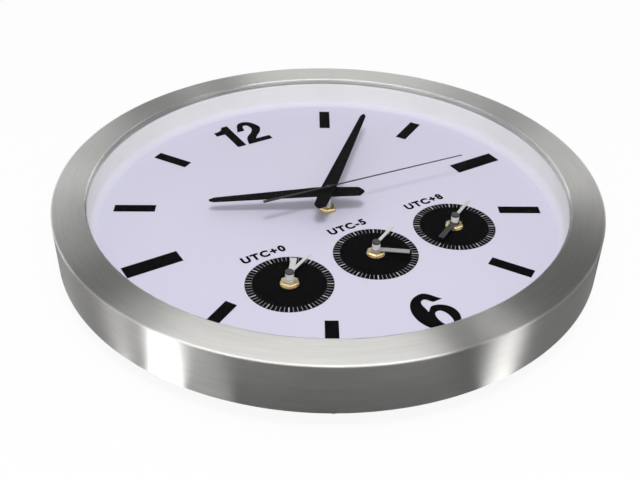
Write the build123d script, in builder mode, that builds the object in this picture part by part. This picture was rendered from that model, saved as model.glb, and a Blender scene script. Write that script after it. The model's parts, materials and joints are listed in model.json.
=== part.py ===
from build123d import *
import math
import os

# World time clock, lying face up: z = 0 is the rear plane, +Z comes out of the dial,
# +Y points to twelve and +X to three. All sizes are in millimetres.

# Case
case_radius = 175.0
rim_height = 33.0
sheet = 1.2
edge_round = 0.5
bezel_width = 21.3
hem_width = 12.5
glass_thickness = 2.0
glass_overlap = 6.3
glass_clear = 1.0
seal_thickness = 0.3
seal_setback = 0.4
dial_thickness = 1.0
ring_setback = 0.3
ring_wall = 2.0
ring_flange = 1.5
spacer_wall = 2.0
spacer_flange = 1.5
dial_seat = 11.0
radial_play = 0.3

# Back cover and its fasteners
cover_wall = 1.8
cover_round = 1.5
cover_flange_inset = 3.0
pan_step = 12.5
window_margin = 6.0
window_round = 12.0
screw_count = 6
screw_radius = 1.5
screw_length = 5.0
screw_head_radius = 3.2
screw_head_height = 2.0
screw_play = 0.2
screw_fit = 0.02

# Wall hanger
hanger_inset = 38.0
hanger_length = 60.0
hanger_width = 26.0
hanger_thickness = 1.2
hanger_round = 4.0
keyhole_radius = 4.5
keyhole_slot = 4.0
keyhole_run = 9.0
keyhole_window = 2.5
rivet_pitch = 46.0
rivet_radius = 1.5
rivet_head_radius = 3.0
rivet_head_height = 0.9
rivet_play = 0.1

# Dial print and the sub-dials
print_thickness = 0.1
bar_margin = 12.7
bar_length = 27.3
bar_width = 7.9
quarter_bar_margin = 12.0
quarter_bar_length = 36.0
quarter_bar_width = 11.3
sub_dial_radius = 26.6

# Movements, one behind each hand arbor
movement_gap_x = 5.0
movement_gap_y = 1.6
movement_round = 3.0
movement_wall = 1.4
front_wall = 1.6
cover_plate = 1.6
rubber_thickness = 0.8
rubber_radius = 9.0
bay_wall = 1.2
bush_radius = 4.0
bush_flange_radius = 5.5
bush_flange = 0.8
bush_show = 0.3
bush_play = 0.1
washer_radius = 5.6
washer_thickness = 0.5
nut_flats = 9.8
nut_height = 1.6
nut_chamfer = 0.5
pivot_depth = 1.0
running_play = 0.05

# Battery and contacts
cell_radius = 7.05
cell_length = 50.0
cell_nub_radius = 2.7
cell_nub = 1.6
cell_play = 0.15
cell_slack = 2.4
contact_thickness = 0.4
contact_width = 9.0
contact_height = 10.0
contact_bump_radius = 3.0
contact_play = 0.1

# Gear train
hour_tube_radius = 2.55
minute_tube_radius = 1.6
second_arbor_radius = 0.5
setting_arbor_radius = 0.8
setting_stem_radius = 2.0
motion_distance = 12.0
third_distance = 10.8
cannon_teeth = 12
motion_teeth = 36
motion_pinion_teeth = 10
hour_teeth = 40
centre_teeth = 64
third_pinion_teeth = 8
third_teeth = 60
second_pinion_teeth = 8
addendum = 0.85
dedendum = 1.15
tip_share = 0.20
root_share = 0.50
hour_wheel_thickness = 1.2
motion_wheel_thickness = 1.0
train_wheel_thickness = 0.8
pinion_overlap = 0.4
level_gap = 1.0
end_shake = 0.2
hour_hub_radius = 3.5
hour_hub_rise = 0.7
knob_radius = 5.0
knob_height = 2.4
knob_gap = 0.4
knob_recess = 1.9
knob_flutes = 12
knob_flute_radius = 0.6

# Step motor and circuit
board_length = 34.0
board_width = 12.0
board_thickness = 1.0
board_inset = 1.0
chip_radius = 3.0
chip_height = 0.2
coil_radius = 3.4
coil_flange_radius = 3.9
coil_flange = 1.0
coil_length = 20.0
coil_bore = 1.3
stator_thickness = 1.0
stator_limb = 2.0
stator_arm = 3.0
stator_reach = 8.0
stator_eye = 1.0
motor_gap = 0.3

# Main hands, with heights over the dial and clockwise angles from twelve
hand_thickness = 0.6
hand_end = 3.2
hand_point = 1.4
hand_fit = 0.02
hand_gap = 0.7
hour_angle = 297.3
hour_height = 13.8
hour_length = 78.0
hour_tail = 24.0
hour_width = 11.6
hour_tail_width = 10.0
hour_tip_width = 5.0
hour_tip_height = 9.2
hour_bend = 8.0
hour_collet_radius = 3.4
hour_collet = 1.6
minute_angle = 45.3
minute_length = 110.0
minute_tail = 24.0
minute_width = 9.6
minute_tail_width = 7.8
minute_tip_width = 4.0
minute_collet_radius = 2.6
minute_collet = 0.9
second_angle = 95.6
second_thickness = 0.4
second_length = 103.0
second_tail = 45.5
second_width = 1.0
second_tail_width = 2.4
second_boss_radius = 1.7
second_boss = 1.4
second_boss_show = 0.2
tube_show = 0.2

# Sub-dial hands
sub_hand_thickness = 0.5
sub_hour_angles = {"left": 36.5, "middle": 127.0, "right": 242.0}
sub_hour_length = 20.8
sub_hour_width = 3.6
sub_hour_collet_radius = 3.1
sub_hour_collet = 0.5
sub_groove_width = 1.2
sub_groove_depth = 0.2
sub_groove_start = 5.0
sub_groove_end = 1.0
sub_minute_angle = 62.0
sub_hand_gap = 0.4
sub_minute_length = 22.0
sub_minute_width = 2.0
sub_minute_collet_radius = 2.55
sub_minute_collet = 3.3
cap_radius = 2.55
cap_height = 1.5
cap_round = 0.6

# Levels and radii that follow from the sizes above
minute_height = hour_height + tube_show + hand_gap + minute_collet + hand_thickness
second_boss_top = minute_height + tube_show + end_shake + second_boss
second_height = second_boss_top - second_boss_show
bush_rise = washer_thickness + nut_height + bush_show
sub_hour_height = bush_rise + end_shake + sub_hour_collet + sub_hand_thickness
sub_minute_height = sub_hour_height + tube_show + sub_hand_gap + sub_minute_collet + sub_hand_thickness
dial_depth = second_boss_top + glass_clear + glass_thickness + seal_thickness + sheet

bay_width = 2 * (cell_radius + cell_play)
movement_depth = front_wall + bay_width
movement_size = cell_length + cell_slack + 2 * (contact_thickness + movement_wall)
sub_dial_pitch = movement_size + movement_gap_x
sub_dial_drop = movement_size + movement_gap_y
bush_bore = hour_tube_radius + running_play

knob_rear_depth = dial_thickness + rubber_thickness + movement_depth + knob_gap + knob_height
rim_rear = knob_recess + knob_rear_depth + dial_depth - rim_height
face_top = rim_rear + rim_height
bezel_inner = case_radius - bezel_width
hem_inner = case_radius - hem_width
glass_radius = bezel_inner + glass_overlap
glass_top = face_top - sheet - seal_thickness
glass_bottom = glass_top - glass_thickness
dial_face = face_top - dial_depth
dial_back = dial_face - dial_thickness
ring_inner = bezel_inner + ring_setback
spacer_outer = hem_inner + spacer_wall + radial_play
dial_radius = spacer_outer
spacer_seat = dial_radius - dial_seat
pan_radius = hem_inner - pan_step
hanger_y = pan_radius - hanger_inset
cover_flange_radius = case_radius - cover_flange_inset
cover_flange_rear = rim_rear - cover_wall
screw_circle = (hem_inner + spacer_wall + cover_flange_radius) / 2

case_front = dial_back - rubber_thickness
case_rear = case_front - movement_depth
chamber_top = case_front - front_wall
chamber_bottom = case_rear + cover_plate
case_inside = movement_size / 2 - movement_wall
bay_front = -case_inside + bay_width
chamber_front = bay_front + bay_wall

bush_inner_face = chamber_top - bush_flange
hour_hub_top = bush_inner_face - end_shake
hour_wheel_top = hour_hub_top - hour_hub_rise
hour_wheel_bottom = hour_wheel_top - hour_wheel_thickness
motion_wheel_top = hour_wheel_bottom - level_gap - pinion_overlap
motion_wheel_bottom = motion_wheel_top - motion_wheel_thickness
centre_wheel_top = motion_wheel_bottom - pinion_overlap - level_gap - pinion_overlap
centre_wheel_bottom = centre_wheel_top - train_wheel_thickness
third_wheel_top = centre_wheel_bottom - level_gap - pinion_overlap
third_wheel_bottom = third_wheel_top - train_wheel_thickness
pivot_rear = case_rear + end_shake
pivot_front = chamber_top + pivot_depth - end_shake
stem_front = chamber_bottom + knob_gap

sides = {
    "main": (0, 0),
    "left": (-sub_dial_pitch, -sub_dial_drop),
    "middle": (0, -sub_dial_drop),
    "right": (sub_dial_pitch, -sub_dial_drop),
}
centres = list(sides.values())
sub_sides = ["left", "middle", "right"]
sub_centres = [sides[side] for side in sub_sides]

os.makedirs("parts", exist_ok=True)


def save(piece, name):
    piece.part.label = name
    export_step(piece.part, f"parts/{name}.step")


def offset_points(centre, points):
    return [(centre[0] + x, centre[1] + y) for x, y in points]


# Flat plane over a hand arbor, with local x along the hand
def hand_plane(centre, angle, height):
    turn = math.radians(angle)
    along = (math.sin(turn), math.cos(turn), 0)
    return Plane(origin=(*centre, height), x_dir=along, z_dir=(0, 0, 1))


# Upright plane through a hand, with local x along the hand and local y up
def side_plane(centre, angle):
    turn = math.radians(angle)
    along = (math.sin(turn), math.cos(turn), 0)
    across = (math.cos(turn), -math.sin(turn), 0)
    return Plane(origin=(*centre, 0), x_dir=along, z_dir=across)


# Outline of a gear with straight-sided teeth; a tooth or a gap faces the given direction
def gear_outline(teeth, pitch_radius, facing, tooth_faces):
    module = 2 * pitch_radius / teeth
    tip = pitch_radius + addendum * module
    root = pitch_radius - dedendum * module
    half_pitch = math.pi / teeth
    first = math.radians(facing) + (0 if tooth_faces else half_pitch)
    points = []
    for tooth in range(teeth):
        middle = first + 2 * half_pitch * tooth
        for radius, share in ((root, -root_share), (tip, -tip_share), (tip, tip_share), (root, root_share)):
            angle = middle + share * half_pitch
            points.append((radius * math.cos(angle), radius * math.sin(angle)))
    return points


# Pitch radii of a gear pair at a given centre distance
def pitch_radii(distance, teeth_a, teeth_b):
    return distance * teeth_a / (teeth_a + teeth_b), distance * teeth_b / (teeth_a + teeth_b)


def add_gear(centre, bottom, top, outline):
    with BuildSketch(Plane.XY.offset(bottom)) as face:
        with BuildLine():
            Polyline(*offset_points(centre, outline), close=True)
        make_face()
    extrude(face.sketch, amount=top - bottom)


def add_disc(centre, bottom, top, radius, mode=Mode.ADD):
    with Locations((*centre, bottom)):
        Cylinder(radius, top - bottom, align=(Align.CENTER, Align.CENTER, Align.MIN), mode=mode)


cannon_pitch, motion_pitch = pitch_radii(motion_distance, cannon_teeth, motion_teeth)
motion_pinion_pitch, hour_pitch = pitch_radii(motion_distance, motion_pinion_teeth, hour_teeth)
centre_pitch, third_pinion_pitch = pitch_radii(third_distance, centre_teeth, third_pinion_teeth)
third_pitch, second_pinion_pitch = pitch_radii(third_distance, third_teeth, second_pinion_teeth)


# Case: spun rim with a flat front flange and a rear hem
with BuildPart() as rim:
    with BuildSketch(Plane.XZ) as rim_profile:
        with BuildLine():
            Polyline(
                (bezel_inner, face_top - sheet),
                (bezel_inner, face_top),
                (case_radius, face_top),
                (case_radius, rim_rear),
                (hem_inner, rim_rear),
                (hem_inner, rim_rear + sheet),
                (case_radius - sheet, rim_rear + sheet),
                (case_radius - sheet, face_top - sheet),
                close=True,
            )
        make_face()
        outer_corners = rim_profile.vertices().sort_by(Axis.X)[-2:]
        fillet(outer_corners, radius=edge_round)
    revolve(axis=Axis.Z)
    with BuildSketch(Plane.XY.offset(rim_rear)):
        with PolarLocations(screw_circle, screw_count):
            Circle(screw_radius + screw_fit)
    extrude(amount=sheet, mode=Mode.SUBTRACT)
    inner_edge = rim.edges().filter_by(GeomType.CIRCLE).group_by(Axis.Z)[-1].sort_by(SortBy.RADIUS)[0]
    fillet(inner_edge, radius=edge_round)
save(rim, "rim")

with BuildPart() as glass:
    add_disc((0, 0), glass_bottom, glass_top, glass_radius)
    chamfer(glass.edges().filter_by(GeomType.CIRCLE), length=edge_round)
save(glass, "glass")

with BuildPart() as glass_gasket:
    add_disc((0, 0), glass_top, glass_top + seal_thickness, glass_radius)
    add_disc((0, 0), glass_top, glass_top + seal_thickness, bezel_inner + seal_setback, Mode.SUBTRACT)
save(glass_gasket, "glass_gasket")

# White channel-shaped ring between dial and glass
with BuildPart() as inner_ring:
    with BuildSketch(Plane.XZ):
        with BuildLine():
            Polyline(
                (ring_inner, dial_face),
                (glass_radius, dial_face),
                (glass_radius, dial_face + ring_flange),
                (ring_inner + ring_wall, dial_face + ring_flange),
                (ring_inner + ring_wall, glass_bottom - ring_flange),
                (glass_radius, glass_bottom - ring_flange),
                (glass_radius, glass_bottom),
                (ring_inner, glass_bottom),
                close=True,
            )
        make_face()
    revolve(axis=Axis.Z)
save(inner_ring, "inner_ring")

with BuildPart() as dial:
    add_disc((0, 0), dial_back, dial_face, dial_radius)
    for centre in centres:
        add_disc(centre, dial_back, dial_face, bush_radius + bush_play, Mode.SUBTRACT)
save(dial, "dial")

# Ring that stands on the rear hem and carries the dial
with BuildPart() as dial_spacer:
    with BuildSketch(Plane.XZ):
        with BuildLine():
            Polyline(
                (spacer_outer, rim_rear + sheet),
                (spacer_outer, dial_back),
                (spacer_seat, dial_back),
                (spacer_seat, dial_back - spacer_flange),
                (spacer_outer - spacer_wall, dial_back - spacer_flange),
                (spacer_outer - spacer_wall, rim_rear + sheet),
                close=True,
            )
        make_face()
    revolve(axis=Axis.Z)
save(dial_spacer, "dial_spacer")

# Printed bars: all hours but twelve and six, with three and nine larger
with BuildPart() as hour_markers:
    for hour in (1, 2, 3, 4, 5, 7, 8, 9, 10, 11):
        quarter = hour % 3 == 0
        end = ring_inner - (quarter_bar_margin if quarter else bar_margin)
        length = quarter_bar_length if quarter else bar_length
        width = quarter_bar_width if quarter else bar_width
        with BuildSketch(hand_plane((0, 0), 30 * hour, dial_face)):
            with Locations((end - length / 2, 0)):
                Rectangle(length, width)
        extrude(amount=print_thickness)
save(hour_markers, "hour_markers")

with BuildPart() as sub_dials:
    for centre in sub_centres:
        add_disc(centre, dial_face, dial_face + print_thickness, sub_dial_radius)
        add_disc(centre, dial_face, dial_face + print_thickness, washer_radius + bush_play, Mode.SUBTRACT)
save(sub_dials, "sub_dials")

# Back cover: a shallow pan with a flange, a service window and a slot behind the keyhole
window_width = 2 * sub_dial_pitch + movement_size + 2 * window_margin
window_height = sub_dial_drop + movement_size + 2 * window_margin
with BuildPart() as back_cover:
    with BuildSketch(Plane.XZ) as pan_profile:
        with BuildLine():
            Polyline(
                (0, 0),
                (pan_radius, 0),
                (pan_radius, cover_flange_rear),
                (cover_flange_radius, cover_flange_rear),
                (cover_flange_radius, rim_rear),
                (pan_radius - cover_wall, rim_rear),
                (pan_radius - cover_wall, cover_wall),
                (0, cover_wall),
                close=True,
            )
        make_face()
        fillet(pan_profile.vertices().group_by(Axis.Y)[0].sort_by(Axis.X)[-1:], radius=cover_round)
    revolve(axis=Axis.Z)
    with BuildSketch():
        with Locations((0, -sub_dial_drop / 2)):
            RectangleRounded(window_width, window_height, window_round)
        with Locations((0, hanger_y)):
            SlotCenterToCenter(keyhole_run, 2 * (keyhole_radius + keyhole_window), rotation=90)
        with Locations((0, hanger_y)):
            with GridLocations(rivet_pitch, 0, 2, 1):
                Circle(rivet_radius + rivet_play)
    extrude(amount=cover_wall, mode=Mode.SUBTRACT)
    with BuildSketch():
        with Locations((0, hanger_y)):
            with GridLocations(rivet_pitch, 0, 2, 1):
                Circle(rivet_head_radius + rivet_play)
    extrude(amount=rivet_head_height, mode=Mode.SUBTRACT)
    with BuildSketch(Plane.XY.offset(cover_flange_rear)):
        with PolarLocations(screw_circle, screw_count):
            Circle(screw_radius + screw_play)
    extrude(amount=cover_wall, mode=Mode.SUBTRACT)
save(back_cover, "back_cover")

with BuildPart() as back_cover_screws:
    with BuildSketch(Plane.XY.offset(cover_flange_rear)):
        with PolarLocations(screw_circle, screw_count):
            Circle(screw_radius)
    extrude(amount=screw_length)
    with BuildSketch(Plane.XY.offset(cover_flange_rear - screw_head_height)):
        with PolarLocations(screw_circle, screw_count):
            Circle(screw_head_radius)
    extrude(amount=screw_head_height)
    head_rims = back_cover_screws.edges().filter_by(GeomType.CIRCLE).group_by(Axis.Z)[0]
    fillet(head_rims, radius=screw_head_height / 3)
save(back_cover_screws, "back_cover_screws")

# Keyhole plate on the inner face of the back cover; the slot runs towards twelve
with BuildPart() as hanger_plate:
    with BuildSketch(Plane.XY.offset(cover_wall)):
        with Locations((0, hanger_y)):
            RectangleRounded(hanger_length, hanger_width, hanger_round)
        with Locations((0, hanger_y - keyhole_run / 2)):
            Circle(keyhole_radius, mode=Mode.SUBTRACT)
        with Locations((0, hanger_y)):
            SlotCenterToCenter(keyhole_run, keyhole_slot, rotation=90, mode=Mode.SUBTRACT)
        with Locations((0, hanger_y)):
            with GridLocations(rivet_pitch, 0, 2, 1):
                Circle(rivet_radius + rivet_play, mode=Mode.SUBTRACT)
    extrude(amount=hanger_thickness)
save(hanger_plate, "hanger_plate")

plate_front = cover_wall + hanger_thickness
with BuildPart() as hanger_rivets:
    for bottom, top, radius in (
        (rivet_play, rivet_head_height, rivet_head_radius),
        (rivet_head_height, plate_front, rivet_radius),
        (plate_front, plate_front + rivet_head_height, rivet_head_radius),
    ):
        with BuildSketch(Plane.XY.offset(bottom)):
            with Locations((0, hanger_y)):
                with GridLocations(rivet_pitch, 0, 2, 1):
                    Circle(radius)
        extrude(amount=top - bottom)
save(hanger_rivets, "hanger_rivets")


# Movement case: front shell with a gear chamber and a battery bay, open to the rear
def make_movement_case(side, centre):
    x, y = centre
    chamber_height = case_inside - chamber_front
    with BuildPart() as shell:
        with BuildSketch(Plane.XY.offset(case_rear)):
            with Locations(centre):
                RectangleRounded(movement_size, movement_size, movement_round)
        extrude(amount=movement_depth)
        with BuildSketch(Plane.XY.offset(case_rear)):
            with Locations((x, y + chamber_front + chamber_height / 2)):
                Rectangle(2 * case_inside, chamber_height)
            with Locations((x, y - case_inside + bay_width / 2)):
                Rectangle(2 * case_inside, bay_width)
        extrude(amount=movement_depth - front_wall, mode=Mode.SUBTRACT)
        add_disc(centre, chamber_top, case_front, bush_radius + bush_play, Mode.SUBTRACT)
        for spot, radius in (
            ((x + third_distance, y), second_arbor_radius),
            ((x, y + motion_distance), setting_arbor_radius),
        ):
            add_disc(spot, chamber_top, chamber_top + pivot_depth, radius + running_play, Mode.SUBTRACT)
    save(shell, f"movement_case_{side}")


# Rear plate over the gear chamber, with the pivot holes
def make_movement_cover(side, centre):
    x, y = centre
    low = chamber_front + bush_play
    high = case_inside - bush_play
    with BuildPart() as plate:
        with BuildSketch(Plane.XY.offset(case_rear)):
            with Locations((x, y + (low + high) / 2)):
                Rectangle(2 * (case_inside - bush_play), high - low)
            with Locations(centre, (x + third_distance, y)):
                Circle(second_arbor_radius + running_play, mode=Mode.SUBTRACT)
            with Locations((x, y + motion_distance)):
                Circle(setting_stem_radius + running_play, mode=Mode.SUBTRACT)
        extrude(amount=cover_plate)
    save(plate, f"movement_cover_{side}")


cell_y = -case_inside + bay_width / 2
cell_z = chamber_top - bay_width / 2
cell_tip = case_inside - contact_thickness - contact_play
cell_tail = cell_tip - cell_length


# Round cell with its positive nub towards +X
def make_battery(side, centre):
    x, y = centre
    with BuildPart() as cell:
        with BuildSketch(Plane.YZ.offset(x + cell_tail)):
            with Locations((y + cell_y, cell_z)):
                Circle(cell_radius)
        extrude(amount=cell_length - cell_nub)
        fillet(cell.edges().filter_by(GeomType.CIRCLE), radius=edge_round)
        with BuildSketch(Plane.YZ.offset(x + cell_tip - cell_nub)):
            with Locations((y + cell_y, cell_z)):
                Circle(cell_nub_radius)
        extrude(amount=cell_nub)
    save(cell, f"battery_{side}")


for side, centre in sides.items():
    make_movement_case(side, centre)
    make_movement_cover(side, centre)
    make_battery(side, centre)

with BuildPart() as battery_contacts:
    for x, y in centres:
        for wall, inward in ((x + case_inside, -1), (x - case_inside, 1)):
            with BuildSketch(Plane.YZ.offset(wall)):
                with Locations((y + cell_y, cell_z)):
                    Rectangle(contact_width, contact_height)
            extrude(amount=inward * contact_thickness)
        with BuildSketch(Plane.YZ.offset(x - case_inside + contact_thickness)):
            with Locations((y + cell_y, cell_z)):
                Circle(contact_bump_radius)
        extrude(amount=cell_tail - contact_play + case_inside - contact_thickness)
save(battery_contacts, "battery_contacts")

# What comes through the dial at each arbor
with BuildPart() as movement_gaskets:
    for centre in centres:
        add_disc(centre, case_front, dial_back, rubber_radius)
        add_disc(centre, case_front, dial_back, bush_radius + bush_play, Mode.SUBTRACT)
save(movement_gaskets, "movement_gaskets")

with BuildPart() as threaded_bushes:
    for centre in centres:
        add_disc(centre, bush_inner_face, chamber_top, bush_flange_radius)
        add_disc(centre, chamber_top, dial_face + bush_rise, bush_radius)
        add_disc(centre, bush_inner_face, dial_face + bush_rise, bush_bore, Mode.SUBTRACT)
save(threaded_bushes, "threaded_bushes")

with BuildPart() as washers:
    for centre in centres:
        add_disc(centre, dial_face, dial_face + washer_thickness, washer_radius)
        add_disc(centre, dial_face, dial_face + washer_thickness, bush_radius + bush_play, Mode.SUBTRACT)
save(washers, "washers")

with BuildPart() as hand_nuts:
    with BuildSketch(Plane.XY.offset(dial_face + washer_thickness)):
        with Locations(*centres):
            RegularPolygon(radius=nut_flats / 2, side_count=6, major_radius=False)
    extrude(amount=nut_height)
    chamfer(hand_nuts.edges().group_by(Axis.Z)[-1], length=nut_chamfer)
    for centre in centres:
        nut_rear = dial_face + washer_thickness
        add_disc(centre, nut_rear, nut_rear + nut_height, bush_radius + running_play, Mode.SUBTRACT)
save(hand_nuts, "hand_nuts")

# Circuit board, coil and stator of each step motor
board_x = -case_inside + board_inset + board_width / 2
board_y = (chamber_front + case_inside) / 2
coil_z = chamber_bottom + board_thickness + motor_gap + coil_flange_radius
with BuildPart() as circuit_boards:
    for x, y in centres:
        with BuildSketch(Plane.XY.offset(chamber_bottom)):
            with Locations((x + board_x, y + board_y)):
                Rectangle(board_width, board_length)
        extrude(amount=board_thickness)
        chip_base = chamber_bottom + board_thickness
        add_disc((x + board_x, y + board_y), chip_base, chip_base + chip_height, chip_radius)
save(circuit_boards, "circuit_boards")

with BuildPart() as coils:
    for x, y in centres:
        axis_plane = Plane(origin=(x + board_x, y + board_y, coil_z), x_dir=(1, 0, 0), z_dir=(0, 1, 0))
        with BuildSketch(axis_plane):
            Circle(coil_radius)
        extrude(amount=coil_length / 2, both=True)
        for end in (-1, 1):
            with BuildSketch(axis_plane.offset(end * coil_length / 2)):
                Circle(coil_flange_radius)
            extrude(amount=-end * coil_flange)
        with BuildSketch(axis_plane):
            Circle(coil_bore)
        extrude(amount=coil_length / 2, both=True, mode=Mode.SUBTRACT)
save(coils, "coils")

with BuildPart() as stators:
    for x, y in centres:
        limb = coil_length + 2 * (motor_gap + stator_arm)
        with BuildSketch(Plane.XY.offset(coil_z - stator_thickness / 2)):
            with Locations((x + board_x, y + board_y)):
                Rectangle(stator_limb, limb)
            for end in (-1, 1):
                arm_y = y + board_y + end * (limb - stator_arm) / 2
                with Locations((x + board_x + stator_reach / 2 - stator_limb / 2, arm_y)):
                    Rectangle(stator_reach, stator_arm)
                with Locations((x + board_x + stator_reach - stator_limb / 2 - stator_arm / 2, arm_y)):
                    Circle(stator_eye, mode=Mode.SUBTRACT)
        extrude(amount=stator_thickness)
save(stators, "stators")


# Hour wheel on its tube, up to just over the hour hand
def make_hour_wheel(side, centre, tube_top):
    outline = gear_outline(hour_teeth, hour_pitch, 90, True)
    with BuildPart() as wheel:
        add_gear(centre, hour_wheel_bottom, hour_wheel_top, outline)
        add_disc(centre, hour_wheel_top, hour_hub_top, hour_hub_radius)
        add_disc(centre, hour_hub_top, tube_top, hour_tube_radius)
        bore = minute_tube_radius + running_play
        add_disc(centre, hour_wheel_bottom, tube_top, bore, Mode.SUBTRACT)
    save(wheel, f"hour_wheel_{side}")


# Minute arbor with its centre wheel and cannon pinion; the main one is bored for the second arbor
def make_minute_arbor(side, centre, arbor_top):
    wheel_outline = gear_outline(centre_teeth, centre_pitch, 0, True)
    cannon_outline = gear_outline(cannon_teeth, cannon_pitch, 90, True)
    arbor_bottom = centre_wheel_bottom - pinion_overlap
    cannon_bottom = motion_wheel_bottom - pinion_overlap
    with BuildPart() as arbor:
        add_disc(centre, arbor_bottom, arbor_top, minute_tube_radius)
        add_gear(centre, centre_wheel_bottom, centre_wheel_top, wheel_outline)
        add_gear(centre, cannon_bottom, motion_wheel_top + pinion_overlap, cannon_outline)
        if side == "main":
            bore = second_arbor_radius + running_play
            add_disc(centre, arbor_bottom, arbor_top, bore, Mode.SUBTRACT)
        else:
            add_disc(centre, pivot_rear, arbor_bottom, second_arbor_radius)
    save(arbor, f"minute_arbor_{side}")


# Setting wheel: motion wheel, its pinion and the rear knob on one stem
def make_setting_wheel(side, centre):
    spot = (centre[0], centre[1] + motion_distance)
    wheel_outline = gear_outline(motion_teeth, motion_pitch, 270, False)
    pinion_outline = gear_outline(motion_pinion_teeth, motion_pinion_pitch, 270, False)
    knob_front = case_rear - knob_gap
    with BuildPart() as setting:
        with BuildSketch(Plane.XY.offset(knob_front - knob_height)):
            with Locations(spot):
                Circle(knob_radius)
                with PolarLocations(knob_radius, knob_flutes):
                    Circle(knob_flute_radius, mode=Mode.SUBTRACT)
        extrude(amount=knob_height)
        add_disc(spot, knob_front, stem_front, setting_stem_radius)
        add_disc(spot, stem_front, pivot_front, setting_arbor_radius)
        add_gear(spot, motion_wheel_bottom, motion_wheel_top, wheel_outline)
        pinion_top = hour_wheel_top + pinion_overlap
        add_gear(spot, hour_wheel_bottom - pinion_overlap, pinion_top, pinion_outline)
    save(setting, f"setting_wheel_{side}")


hour_tube_top = dial_face + hour_height + tube_show
minute_tube_top = dial_face + minute_height + tube_show
sub_hour_tube_top = dial_face + sub_hour_height + tube_show
sub_minute_top = dial_face + sub_minute_height
for side, centre in sides.items():
    main = side == "main"
    make_hour_wheel(side, centre, hour_tube_top if main else sub_hour_tube_top)
    make_minute_arbor(side, centre, minute_tube_top if main else sub_minute_top)
    make_setting_wheel(side, centre)

second_top = dial_face + second_height
with BuildPart() as second_arbor:
    add_disc((0, 0), pivot_rear, second_top, second_arbor_radius)
    second_outline = gear_outline(second_pinion_teeth, second_pinion_pitch, 0, False)
    add_gear((0, 0), third_wheel_bottom - pinion_overlap, third_wheel_top + pinion_overlap, second_outline)
save(second_arbor, "second_arbor")

third_spot = (third_distance, 0)
with BuildPart() as third_wheel:
    add_disc(third_spot, pivot_rear, pivot_front, second_arbor_radius)
    add_gear(third_spot, third_wheel_bottom, third_wheel_top, gear_outline(third_teeth, third_pitch, 180, True))
    third_outline = gear_outline(third_pinion_teeth, third_pinion_pitch, 180, False)
    add_gear(third_spot, centre_wheel_bottom - pinion_overlap, centre_wheel_top + pinion_overlap, third_outline)
save(third_wheel, "third_wheel")


# Plan of a main hand: full width at the arbor, and a taper each way to a pointed end
def hand_outline(length, tail, width, tail_width, tip_width):
    upper = [
        (-tail, hand_point / 2),
        (hand_end - tail, tail_width / 2),
        (0, width / 2),
        (length - hand_end, tip_width / 2),
        (length, hand_point / 2),
    ]
    return upper + [(x, -y) for x, y in reversed(upper)]


with BuildPart() as hour_hand:
    blade_top = dial_face + hour_height
    tip_top = dial_face + hour_tip_height
    with BuildSketch(hand_plane((0, 0), hour_angle, tip_top - hand_thickness)):
        with BuildLine():
            widths = (hour_width, hour_tail_width, hour_tip_width)
            Polyline(*hand_outline(hour_length, hour_tail, *widths), close=True)
        make_face()
    extrude(amount=blade_top - tip_top + hand_thickness)
    with BuildSketch(side_plane((0, 0), hour_angle)):
        with BuildLine():
            Polyline(
                (-hour_tail, blade_top),
                (hour_bend, blade_top),
                (hour_length, tip_top),
                (hour_length, tip_top - hand_thickness),
                (hour_bend, blade_top - hand_thickness),
                (-hour_tail, blade_top - hand_thickness),
                close=True,
            )
        make_face()
    extrude(amount=hour_width, both=True, mode=Mode.INTERSECT)
    collet_bottom = blade_top - hand_thickness - hour_collet
    add_disc((0, 0), collet_bottom, blade_top - hand_thickness, hour_collet_radius)
    add_disc((0, 0), collet_bottom, blade_top, hour_tube_radius + hand_fit, Mode.SUBTRACT)
save(hour_hand, "hour_hand_main")

with BuildPart() as minute_hand:
    blade_rear = dial_face + minute_height - hand_thickness
    with BuildSketch(hand_plane((0, 0), minute_angle, blade_rear)):
        with BuildLine():
            widths = (minute_width, minute_tail_width, minute_tip_width)
            Polyline(*hand_outline(minute_length, minute_tail, *widths), close=True)
        make_face()
    extrude(amount=hand_thickness)
    add_disc((0, 0), blade_rear - minute_collet, blade_rear, minute_collet_radius)
    bore = minute_tube_radius + hand_fit
    add_disc((0, 0), blade_rear - minute_collet, blade_rear + hand_thickness, bore, Mode.SUBTRACT)
save(minute_hand, "minute_hand_main")

with BuildPart() as second_hand:
    blade_rear = dial_face + second_height - second_thickness
    boss_rear = minute_tube_top + end_shake
    with BuildSketch(hand_plane((0, 0), second_angle, blade_rear)):
        with BuildLine():
            Polyline(
                (-second_tail, second_tail_width / 2),
                (0, second_width / 2),
                (second_length, second_width / 3),
                (second_length, -second_width / 3),
                (0, -second_width / 2),
                (-second_tail, -second_tail_width / 2),
                close=True,
            )
        make_face()
    extrude(amount=second_thickness)
    add_disc((0, 0), boss_rear, boss_rear + second_boss, second_boss_radius)
    bore = second_arbor_radius + hand_fit
    add_disc((0, 0), boss_rear, second_top, bore, Mode.SUBTRACT)
save(second_hand, "second_hand")


# Hour hand of a sub-dial: a parallel strip with a lengthwise groove
def make_sub_hour_hand(side, centre):
    top = dial_face + sub_hour_height
    rear = top - sub_hand_thickness
    plane = hand_plane(centre, sub_hour_angles[side], rear)
    groove_length = sub_hour_length - sub_groove_end - sub_groove_start
    with BuildPart() as hand:
        with BuildSketch(plane):
            with Locations((sub_hour_length / 2, 0)):
                Rectangle(sub_hour_length, sub_hour_width)
        extrude(amount=sub_hand_thickness)
        with BuildSketch(plane.offset(sub_hand_thickness - sub_groove_depth)):
            with Locations((sub_groove_start + groove_length / 2, 0)):
                Rectangle(groove_length, sub_groove_width)
        extrude(amount=sub_groove_depth, mode=Mode.SUBTRACT)
        add_disc(centre, rear - sub_hour_collet, top, sub_hour_collet_radius)
        bore = hour_tube_radius + hand_fit
        add_disc(centre, rear - sub_hour_collet, top, bore, Mode.SUBTRACT)
    save(hand, f"hour_hand_{side}")


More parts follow.
